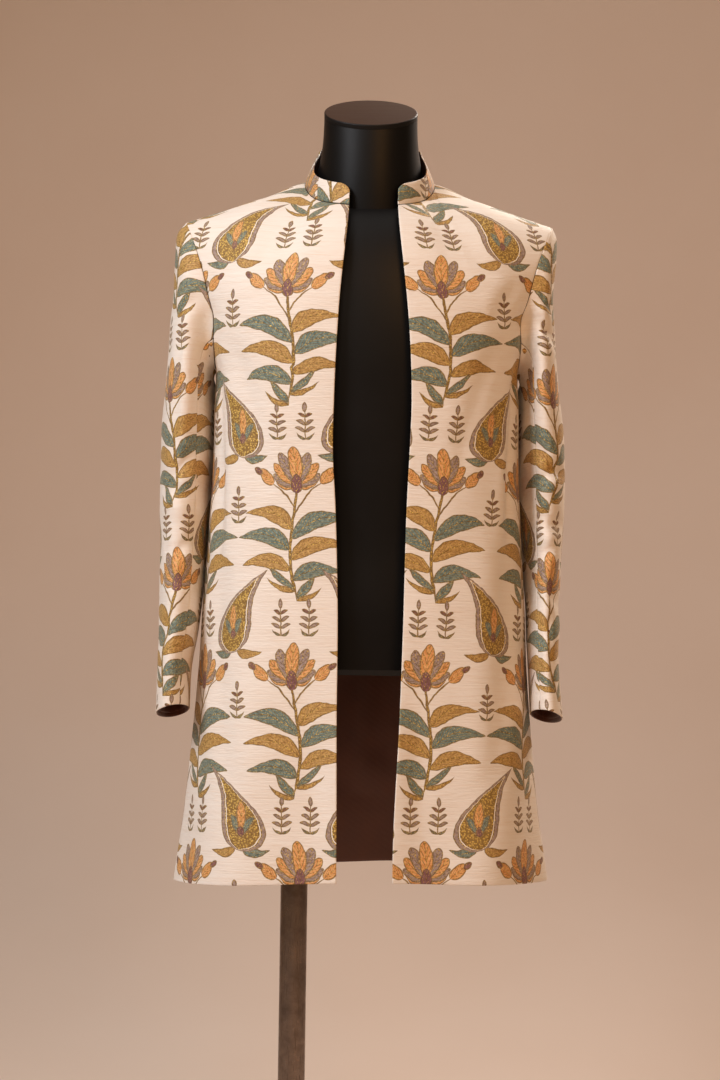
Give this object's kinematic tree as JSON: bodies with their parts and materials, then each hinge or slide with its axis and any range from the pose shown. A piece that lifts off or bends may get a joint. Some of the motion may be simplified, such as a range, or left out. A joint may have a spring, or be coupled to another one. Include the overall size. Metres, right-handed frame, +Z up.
{
  "type": "sherwani coat on dress form",
  "caption": "Knee-length open-front sherwani coat with a stand collar and set-in sleeves, filled out on a limbless dress form with a pole and a round base.",
  "frame": {"origin": "under the middle of the round base plate, on the surface that it stands on", "axes": "+Z up, the coat's front faces -Y, the wearer's left is +X"},
  "size_m": [0.5268, 0.42, 1.5964],
  "materials": {
    "printed_cloth": "slub silk blend, printed in teal, ochre and mauve with metallic thread work",
    "lining": "plain rust-brown lining",
    "form_skin": "matte black",
    "neck_cap": "satin dark brown",
    "steel": "brushed stainless"
  },
  "bodies": {
    "root": {"front_left": "printed_cloth", "front_right": "printed_cloth", "back": "printed_cloth", "top_sleeve_left": "printed_cloth", "top_sleeve_right": "printed_cloth", "under_sleeve_left": "printed_cloth", "under_sleeve_right": "printed_cloth", "collar_front_left": "printed_cloth", "collar_front_right": "printed_cloth", "collar_back": "printed_cloth", "cuff_lining_left": "lining", "cuff_lining_right": "lining", "torso_form": "form_skin", "neck_cap": "neck_cap", "form_flange": "steel", "pole": "steel", "base_socket": "steel", "base_plate": "steel"}
  },
  "joints": []
}
